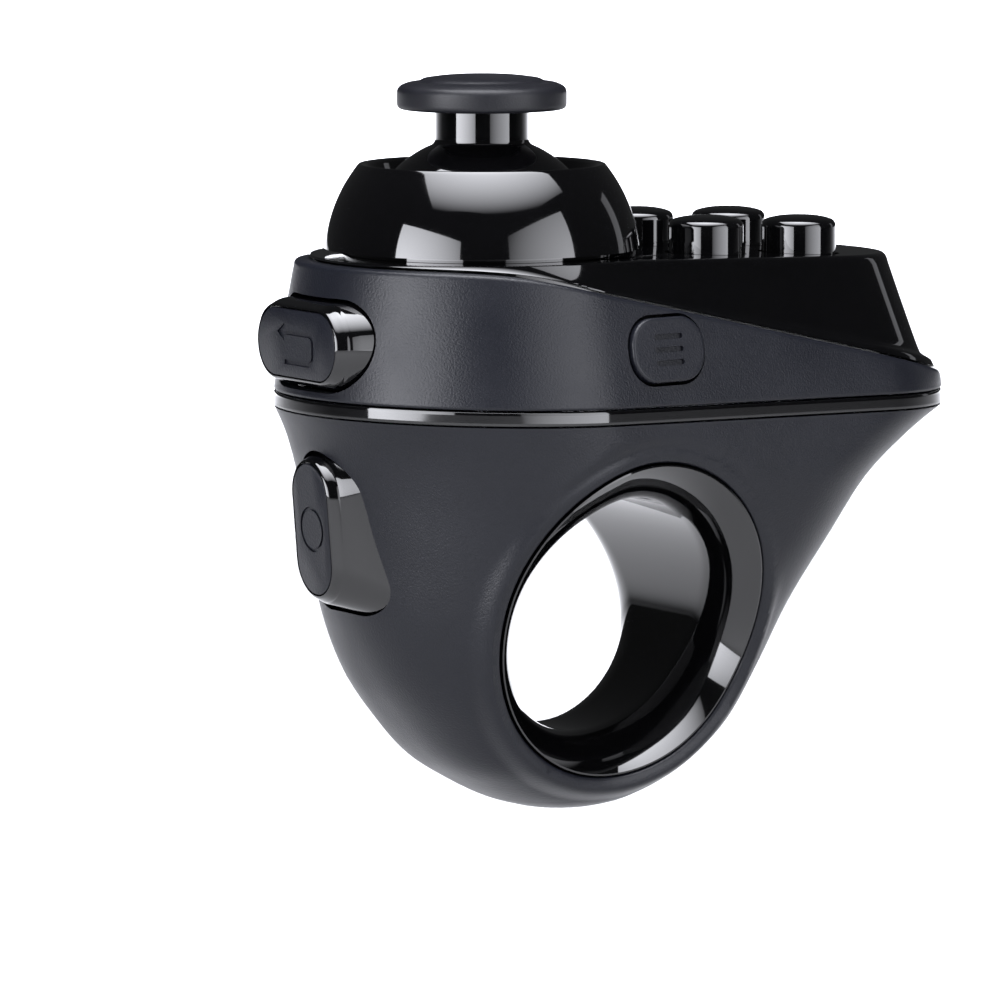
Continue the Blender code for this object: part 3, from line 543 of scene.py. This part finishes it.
def mid_housing():
    """Matte belt with holes for the back button, menu button, socket and light."""
    def edges(x, low, deep):
        return max(corner_inset(low, 0.25), corner_inset(deep, 0.35))
    levels = [0.0, 0.004, 0.01, 0.02] + [0.03 + 0.91 * k / 24 for k in range(25)]
    levels += [0.955, 0.968, 0.98, 0.99, 0.996, 1.0]
    outside = [belt_ring(level, edges) for level in levels]
    inside = [belt_ring(level, WALL) for level in (1.0, 0.66, 0.33, 0.0)]
    belt = skin("mid_housing_shell", outside + inside, closed=True)
    port = skin("port_cutter", [[(USB_X + a, y, USB_Z + b) for a, b in rounded(4.1 + g, 1.7 + g, 0.9 + g)]
                                for y, g in ((12.0, 0.0), (16.2, 0.0), (22.0, 0.6))])
    lamp = rod("lamp_cutter", 1.0, 10.0, 22.0, at(LIGHT_X, 0, LIGHT_Z, along((0, 1, 0))))
    return cut(belt, front_cutter(BACK), menu_solid(((-3.4, GAP), (2.0, GAP))), port, lamp)


def plate_points(inset):
    """Outline of the button plate, moved inward by inset."""
    points = outline(NOSE_X - PLATE_FRONT_R, PLATE_TAIL_TIP, PLATE_FRONT_R, PLATE_TAIL_R)
    return [(x - nx * inset, y - ny * inset) for x, y, nx, ny in points]


def ledge_inset(x):
    """Width of the cover's ledge, wider at the front."""
    return 0.3 + 1.6 * eased((-3.0 - x) / 7.0)


def cover_ring(share, rise, ledge, extra):
    """Ring from the belt's top edge (share 0) to the plate's edge (share 1)."""
    low = belt_ring(1.0, lambda x, a, b: ledge * ledge_inset(x) + (1 - ledge) * extra)
    ring = []
    for (x0, y0, z0), (x1, y1) in zip(low, plate_points(ledge * 0.35 + (1 - ledge) * extra)):
        z0 += rise
        ring.append((x0 + (x1 - x0) * share, y0 + (y1 - y0) * share,
                     z0 + (plate_top(x1) - z0) * share))
    return ring


def top_cover():
    """Glossy wedge with its ledge, rounded plate edge, hollow and holes."""
    tongue = WALL + GAP
    rings = [[(x, y, z - 2.0) for x, y, z in belt_ring(1.0, tongue)],
             [(x, y, z + SEAM) for x, y, z in belt_ring(1.0, tongue)],
             cover_ring(0.0, SEAM, 1.0, 0.0), cover_ring(0.025, SEAM, 1.0, 0.0)]
    table = ((0.05, 1.0, 0.0), (0.062, 0.96, 1.0), (0.08, 0.72, 1.0), (0.10, 0.34, 1.0),
             (0.118, 0.06, 1.0), (0.13, 0.0, 1.0))
    rings += [cover_ring(share, SEAM, ledge, extra) for share, ledge, extra in table]
    for k in range(1, 17):
        share = 0.13 + 0.83 * k / 16
        rings.append(cover_ring(share, SEAM, 0.0, 1.0 - 1.0 * (k / 16) ** 1.1))
    for share, extra in ((0.975, 0.03), (0.987, 0.09), (0.995, 0.18), (0.999, 0.3), (1.0, 0.44),
                         (1.0, 0.6), (1.0, 1.2), (1.0, 2.0)):
        rings.append(cover_ring(share, 0.0, 0.0, extra))
    cover = skin("top_cover_shell", rings)
    ceiling = [(x, y, z - PLATE_WALL) for x, y, z in cover_ring(1.0, 0.0, 0.0, 1.4)]
    foot = [(x, y, min(z - 2.0, t[2] - 0.2))
            for (x, y, z), t in zip(belt_ring(1.0, tongue + 1.3), ceiling)]
    room = skin("cover_room", [[(x, y, z - 4.0) for x, y, z in foot], foot, ceiling])
    cut(cover, room)
    holes = [rod("button_cutter", BUTTON_R + GAP, 26.0, 40.0, at(x, y, 0)) for x, y in button_centres()]
    holes.append(menu_solid(((-4.5, GAP), (-1.0, GAP))))
    return cut(cover, rod("dome_cutter", 12.4, 15.0, 40.0, at(NOSE_X, 0, 0)), *holes)


def dome_cup():
    """Cup round the stick, with a rolled rim."""
    inner_r = DOME_R - DOME_WALL
    outside = arc(DOME_R, acos((DOME_BASE_Z - DOME_CENTRE_Z) / DOME_R),
                  acos((DOME_RIM_Z - 0.12 - DOME_CENTRE_Z) / DOME_R), 40, DOME_CENTRE_Z)
    rim_r = sqrt(DOME_R ** 2 - (DOME_RIM_Z - DOME_CENTRE_Z) ** 2)
    rim = soft([outside[-1], (rim_r - 0.05, DOME_RIM_Z + 0.03, 0.35),
                (rim_r - 0.75, DOME_RIM_Z - 0.04, 0.4), (rim_r - 1.15, DOME_RIM_Z - 1.0)], 8)[1:]
    inside = arc(inner_r, acos((DOME_RIM_Z - 1.2 - DOME_CENTRE_Z) / inner_r),
                 acos((DOME_BASE_Z + 0.9 - DOME_CENTRE_Z) / inner_r), 16, DOME_CENTRE_Z)
    spigot = [(11.5, DOME_BASE_Z), (11.5, 30.2), (12.1, 30.2), (12.1, DOME_BASE_Z)]
    return turned("dome_cup_gloss", outside + rim + inside + spigot, at(NOSE_X, 0, 0), 192)


# ---------------------------------------------------------------- thumb stick

def ball_skirt():
    """Neck and ball in one, the neck flowing into the ball."""
    pivot = at(NOSE_X, 0, PIVOT_Z)
    neck_polar = acos(sqrt(BALL_R ** 2 - NECK_R ** 2) / BALL_R)
    foot = arc(BALL_R, neck_polar, neck_polar + 0.09, 1)
    inner_r, bore = BALL_R - BALL_WALL, SHAFT_R + GAP
    neck_top = CAP_BASE_Z + 0.7 - PIVOT_Z
    fillet = soft([(NECK_R, foot[0][1] + 0.8), (NECK_R, foot[0][1], 0.8), foot[1]], 8)
    shell = arc(BALL_R, neck_polar + 0.09, BALL_EDGE, 40)[1:]
    lining = arc(inner_r, BALL_EDGE, acos(sqrt(inner_r ** 2 - bore ** 2) / inner_r), 16)
    profile = [(0, neck_top), (NECK_R, neck_top)] + fillet + shell + lining
    profile += [(bore, neck_top - 1.2), (0, neck_top - 1.2)]
    return turned("ball_skirt_gloss", profile, pivot)


def joystick_cap():
    """Rubber cap with a crowned top and a raised ring."""
    base, top = CAP_BASE_Z - PIVOT_Z, CAP_TOP_Z - PIVOT_Z
    recess = NECK_R + GAP
    line = [(0, base + 1.0), (recess, base + 1.0), (recess, base, 0.25), (CAP_R, base, 0.55),
            (CAP_R, base + 1.95, 0.6), (CAP_R - 1.0, base + 2.38, 0.35), (CAP_R - 1.85, base + 2.42, 0.4),
            (CAP_R - 2.3, base + 2.72, 0.5), (3.4, top - 0.12, 1.6), (0, top)]
    profile = [(max(a, 0.0), b) for a, b in soft(line, 8)]
    return turned("joystick_cap_rubber", profile, at(NOSE_X, 0, PIVOT_Z))


# ---------------------------------------------------------------- buttons

def button_centres():
    """Places of the four face buttons."""
    return [(BUTTON_CENTRE_X + sx * BUTTON_PITCH_X / 2, sy * BUTTON_PITCH_Y / 2)
            for sx in (-1, 1) for sy in (1, -1)]


def face_button(x, y):
    """Round button with a flange under the plate."""
    top = plate_top(x) + BUTTON_TALL
    line = [(0, 28.2), (3.85, 28.2), (3.85, 29.0), (BUTTON_R, 29.0), (BUTTON_R, top - 0.5, 0.6),
            (2.0, top - 0.12, 1.0), (0, top)]
    return turned("face_button_gloss", soft(line, 8), at(x, y, 0), 96)


def front_button(spec):
    """Glossy surround of a front button, with rounded edges and a pocket for the inlay."""
    face_x, end_x, (wide, deep) = spec[4], spec[8], spec[5]
    wall_x = face_x + deep
    stops = [face_x, face_x + 0.06, face_x + 0.16]
    stops += [face_x + 0.16 + (deep - 0.36) * k / 4 for k in range(1, 5)]
    stops += [wall_x - 0.1, wall_x - 0.001, wall_x + 0.12, wall_x + 0.3]
    stops += [wall_x + 0.3 + (end_x - wall_x - 0.3) * k / 6 for k in range(1, 7)]
    rings = []
    for x in stops:
        round_off = corner_inset(x - face_x, 0.16) * 0.8 + 0.07 * max(0.0, 1 - abs(x - wall_x) / 0.3) ** 2
        rings.append(front_ring(spec, x, -round_off))
    body = skin("front_button_gloss", rings)
    edge = front_ring(spec, face_x, -0.12)
    pocket = skin("pocket", [[(x + s, y, z) for x, y, z in edge] for s in (-1.0, FACE_INLAY)])
    room = [front_ring(spec, x, -1.4) for x in (face_x + FACE_INLAY + 1.2, end_x - 1.0)]
    room.append([(x + 3.0, y, z) for x, y, z in room[-1]])
    stem = skin("stem", [[(x, spec[0] + a, spec[1] + b) for a, b in rounded(1.2, 1.2, 0.3, 4)]
                         for x in (face_x + 1.0, end_x + 3.0)])
    return cut(body, pocket, cut(skin("hollow", room), stem))


def front_inlay(spec, marks):
    """Matte face of a front button with its mark pressed into it; marks are (a, b) outlines."""
    face_x = spec[4]
    rings = []
    for shift, grow in ((0.0, -0.33), (0.03, -0.28), (0.1, -0.27), (0.45, -0.27)):
        rings.append([(x + shift, y, z) for x, y, z in front_ring(spec, face_x, grow)])
    body = skin("front_inlay_matte", rings)
    tools = []
    for mark in marks:
        tools.append(skin("mark", [[(face_x + depth - spec[9] * b, spec[0] - a, spec[1] + b) for a, b in mark]
                                   for depth in (-0.6, 0.16)]))
    return cut(body, *tools)


def return_arrow():
    """Outlines of the return arrow: its bent line and its head."""
    half = 0.2
    bend = soft([(-2.4, 0.9), (2.9, 0.9, 1.0), (2.9, -1.7, 1.0), (-2.1, -1.7)], 8)
    head = [(-3.4, 0.9), (-2.15, 1.7), (-2.15, 0.1)]
    return [stroke(bend, half), head]


def ring_mark(radius, half, steps=72):
    """A circle drawn as two half-ring outlines, so that each is one simple outline."""
    marks = []
    for start in (0.0, pi):
        turns = [start - 0.02 + (pi + 0.04) * k / steps for k in range(steps + 1)]
        outer = [((radius + half) * cos(t), (radius + half) * sin(t)) for t in turns]
        inner = [((radius - half) * cos(t), (radius - half) * sin(t)) for t in reversed(turns)]
        marks.append(outer + inner)
    return marks


def menu_place():
    """Frame on the belt's slanted side, with Z outward."""
    x, z = MENU_POINT
    wide = sqrt(1 + SIDE_TAPER ** 2)
    y = -(BELT_HALF * wide - SIDE_TAPER * x - BELT_DRAFT * (z - belt_bottom(x)))
    outward = Vector((SIDE_TAPER, -1.0, BELT_DRAFT)).normalized()
    sideways = Vector((1.0, SIDE_TAPER, 0.0)).normalized()
    upward = outward.cross(sideways)
    return at(x, y, z, Matrix((sideways, upward, outward)).transposed().to_4x4())


def menu_solid(profile):
    """Rounded plate on the menu button's place through (height, grow) steps."""
    made = skin("menu_solid", [[(a, b, height) for a, b in
                                rounded(MENU_HALF[0] + grow, MENU_HALF[1] + grow, MENU_CORNER + grow)]
                               for height, grow in profile])
    made.data.transform(menu_place())
    return made


def menu_button():
    """Menu button with three bars pressed in."""
    line = soft([(-3.2, 0.0), (0.5, 0.0, 0.35), (0.5, -0.6)], 8)
    made = menu_solid(line)
    bars = []
    for rise in (-1.15, 0.0, 1.15):
        bar = skin("bar", [[(a, rise + b, depth) for a, b in rounded(1.6, 0.24, 0.22, 6)]
                           for depth in (0.24, 0.9)])
        bar.data.transform(menu_place())
        bars.append(bar)
    return cut(made, *bars)


# ---------------------------------------------------------------- finishes

PATCH_SCALE = 160.0


def finish_of(name, colour, rough, metallic, coat, specular, grain, shade, spread, stretch=(1.0, 1.0, 1.0)):
    """Moulded or metal finish: colour and gloss vary in soft patches over a fine surface grain.

    grain is (scale, bump distance, bump strength); shade and spread are how far colour and gloss vary.
    """
    grain_scale, grain_distance, grain_strength = grain
    made = bpy.data.materials.new(name)
    made.use_nodes = True
    nodes, links = made.node_tree.nodes, made.node_tree.links
    shader = nodes["Principled BSDF"]
    shader.inputs["Metallic"].default_value = metallic
    shader.inputs["Coat Weight"].default_value = coat
    shader.inputs["Coat Roughness"].default_value = 0.03
    shader.inputs["Specular IOR Level"].default_value = specular
    place = nodes.new("ShaderNodeTexCoord")
    scale = nodes.new("ShaderNodeMapping")
    scale.inputs["Scale"].default_value = stretch
    links.new(place.outputs["Object"], scale.inputs["Vector"])
    patches = nodes.new("ShaderNodeTexNoise")
    patches.inputs["Scale"].default_value = PATCH_SCALE
    patches.inputs["Detail"].default_value = 5.0
    fine = nodes.new("ShaderNodeTexNoise")
    fine.inputs["Scale"].default_value = grain_scale
    fine.inputs["Detail"].default_value = 2.0
    for one in (patches, fine):
        links.new(scale.outputs["Vector"], one.inputs["Vector"])
    tint = nodes.new("ShaderNodeMix")
    tint.data_type = 'RGBA'
    tint.inputs["A"].default_value = (*[c * (1 - shade) for c in colour], 1.0)
    tint.inputs["B"].default_value = (*[min(c * (1 + shade), 1.0) for c in colour], 1.0)
    both = nodes.new("ShaderNodeMath")
    both.operation = 'MULTIPLY_ADD'
    both.inputs[1].default_value = 0.5
    half = nodes.new("ShaderNodeMath")
    half.operation = 'MULTIPLY'
    half.inputs[1].default_value = 0.5
    links.new(patches.outputs["Fac"], half.inputs[0])
    links.new(fine.outputs["Fac"], both.inputs[0])
    links.new(half.outputs["Value"], both.inputs[2])
    links.new(both.outputs["Value"], tint.inputs["Factor"])
    links.new(tint.outputs["Result"], shader.inputs["Base Color"])
    gloss = nodes.new("ShaderNodeMapRange")
    gloss.inputs["From Min"].default_value = 0.3
    gloss.inputs["From Max"].default_value = 0.7
    gloss.inputs["To Min"].default_value = max(rough - spread, 0.02)
    gloss.inputs["To Max"].default_value = min(rough + spread, 1.0)
    links.new(patches.outputs["Fac"], gloss.inputs["Value"])
    links.new(gloss.outputs["Result"], shader.inputs["Roughness"])
    bump = nodes.new("ShaderNodeBump")
    bump.inputs["Strength"].default_value = grain_strength
    bump.inputs["Distance"].default_value = grain_distance
    links.new(fine.outputs["Fac"], bump.inputs["Height"])
    links.new(bump.outputs["Normal"], shader.inputs["Normal"])
    return made


# name: colour, roughness, metallic, coat, specular, grain, shade, spread, stretch
FINISHES = {
    "matte_shell": ((0.0054, 0.0060, 0.0090), 0.35, 0.0, 0.0, 0.30, (5600.0, 0.00005, 0.55), 0.3, 0.04),
    "gloss_shell": ((0.0012, 0.0012, 0.0014), 0.06, 0.0, 0.5, 0.5, (900.0, 0.000004, 0.1), 0.3, 0.02),
    "grip_rubber": ((0.0055, 0.0057, 0.0080), 0.42, 0.0, 0.0, 0.30, (6500.0, 0.00003, 0.45), 0.25, 0.06),
    "keypad_rubber": ((0.30, 0.31, 0.32), 0.62, 0.0, 0.0, 0.5, (3000.0, 0.00003, 0.4), 0.12, 0.06),
    "nylon": ((0.045, 0.045, 0.05), 0.5, 0.0, 0.0, 0.5, (3200.0, 0.00003, 0.4), 0.2, 0.06),
    "steel": ((0.55, 0.55, 0.56), 0.28, 1.0, 0.0, 0.5, (2500.0, 0.00001, 0.4), 0.12, 0.08, (1.0, 1.0, 9.0)),
    "circuit_board": ((0.010, 0.110, 0.045), 0.42, 0.0, 0.3, 0.5, (1800.0, 0.00002, 0.5), 0.4, 0.08),
    "cell_foil": ((0.45, 0.46, 0.48), 0.36, 0.7, 0.0, 0.5, (1500.0, 0.00003, 0.5), 0.1, 0.08),
    "lens": ((0.75, 0.80, 0.85), 0.2, 0.0, 0.2, 0.5, (2000.0, 0.00001, 0.3), 0.06, 0.05),
}
LOOKS = {slot: finish_of(slot, *values) for slot, values in FINISHES.items()}
SLOT_OF = {entry["node"]: entry["material_slot"] for entry in frame["record"]["subparts"]}
BODY_OF = {node: body for body, nodes in frame["record"]["behaviour"]["bodies"].items() for node in nodes}


def wear(obj, look):
    """Give an object one finish."""
    obj.data.materials.clear()
    obj.data.materials.append(look)


def stand_for(node, made):
    """Put a finer piece in the place of a CAD node, on the same body and in the same finish."""
    made.name = node + "_fine"
    made.data.name = made.name
    wear(made, LOOKS[SLOT_OF[node]])
    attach(made, BODY_OF[node])
    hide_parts(node)


for node_name, node_object in frame["nodes"].items():
    wear(node_object, LOOKS[SLOT_OF[node_name]])

stand_for("ring_housing", ring_housing())
stand_for("finger_liner", finger_liner())
stand_for("trim_band", trim_band())
stand_for("mid_housing", mid_housing())
stand_for("top_cover", top_cover())
stand_for("dome_cup", dome_cup())
stand_for("ball_skirt", ball_skirt())
stand_for("joystick_cap", joystick_cap())
for number, centre in enumerate(button_centres()):
    stand_for("face_button_%d" % (number + 1), face_button(*centre))
stand_for("back_button", front_button(BACK))
stand_for("back_button_face", front_inlay(BACK, return_arrow()))
stand_for("trigger_button", front_button(TRIGGER))
stand_for("trigger_button_face", front_inlay(TRIGGER, ring_mark(1.86, 0.15)))
stand_for("menu_button", menu_button())


# ---------------------------------------------------------------- floor, light and camera

FLOOR_Z, FLOOR_HALF, FLOOR_GREY = -0.11, 5.0, 0.38                     # metres, metres, reflectance


def floor():
    """Plain pale floor."""
    bm = bmesh.new()
    bmesh.ops.create_grid(bm, x_segments=4, y_segments=4, size=FLOOR_HALF)
    made = new_piece(bm, "floor")
    made.location = (0.0, 0.0, FLOOR_Z)
    pale = bpy.data.materials.new("floor_paint")
    pale.use_nodes = True
    shader = pale.node_tree.nodes["Principled BSDF"]
    shader.inputs["Base Color"].default_value = (FLOOR_GREY, FLOOR_GREY, FLOOR_GREY, 1.0)
    shader.inputs["Roughness"].default_value = 0.9
    made.data.materials.append(pale)


def panel(name, centre, across, along_side, size, power, spread):
    """Rectangular soft light, places in metres; it shines against across x along_side."""
    light = bpy.data.lights.new(name, 'AREA')
    light.shape = 'RECTANGLE'
    light.size, light.size_y = size
    light.energy = power
    light.spread = radians(spread)
    light.color = (0.97, 0.98, 1.04)
    made = bpy.data.objects.new(name, light)
    wide = Vector(across).normalized()
    tall = Vector(along_side).normalized()
    away = wide.cross(tall)
    made.matrix_world = Matrix.Translation(centre) @ Matrix((wide, tall, away)).transposed().to_4x4()
    bpy.context.scene.collection.objects.link(made)


def world_light(colour, strength):
    """Weak even light from all sides."""
    world = bpy.data.worlds.new("studio")
    world.use_nodes = True
    back = world.node_tree.nodes["Background"]
    back.inputs["Color"].default_value = (*colour, 1.0)
    back.inputs["Strength"].default_value = strength
    bpy.context.scene.world = world


CAMERA_TURN, CAMERA_FAR, CAMERA_HIGH, CAMERA_DIP = radians(-31), 0.7, 0.088, radians(7)


def camera():
    """Camera at the picture's viewing angle."""
    data = bpy.data.cameras.new("camera")
    data.lens = 281.956
    data.sensor_width = 36.0
    data.shift_x, data.shift_y = -0.05814, 0.07445
    data.clip_start, data.clip_end = 0.01, 50.0
    made = bpy.data.objects.new("camera", data)
    reach = sqrt(CAMERA_FAR ** 2 - CAMERA_HIGH ** 2)
    made.location = (sin(CAMERA_TURN) * reach, -cos(CAMERA_TURN) * reach, CAMERA_HIGH)
    level = cos(CAMERA_DIP)
    ahead = Vector((-sin(CAMERA_TURN) * level, cos(CAMERA_TURN) * level, -sin(CAMERA_DIP)))
    made.rotation_mode = 'QUATERNION'
    made.rotation_quaternion = ahead.to_track_quat('-Z', 'Y')
    bpy.context.scene.collection.objects.link(made)
    bpy.context.scene.camera = made


UP = (0.0, 0.0, 1.0)
VIEW_ACROSS = (0.857, -0.515, 0.0)                                      # sideways, as the camera sees it

bpy.context.scene.view_settings.view_transform = 'Standard'
floor()
world_light((0.95, 0.97, 1.0), 0.03)
panel("overhead", (-0.15, -0.49, 1.0), (1.0, -1.0, 0.0), (1.0, 1.0, 0.0), (1.66, 1.3), 26.0, 100)
panel("left_box", (-0.97, -0.41, 0.205), (0.0, -1.0, 0.0), UP, (1.02, 0.59), 7.4, 110)
panel("right_box", (0.125, -0.82, 0.205), (1.35, 1.08, 0.0), UP, (0.86, 0.59), 2.9, 110)
panel("right_card", (1.1, 0.05, 0.25), (0.0, 1.0, 0.0), UP, (0.16, 0.5), 0.15, 180)
panel("backdrop", (1.0, 1.66, 1.6), VIEW_ACROSS, (0.2627, 0.4371, 0.86), (2.0, 1.0), 480.0, 180)
panel("sweep", (0.19, 0.32, 0.9), VIEW_ACROSS, (0.18, 0.30, 0.937), (1.2, 0.4), 70.0, 180)
camera()
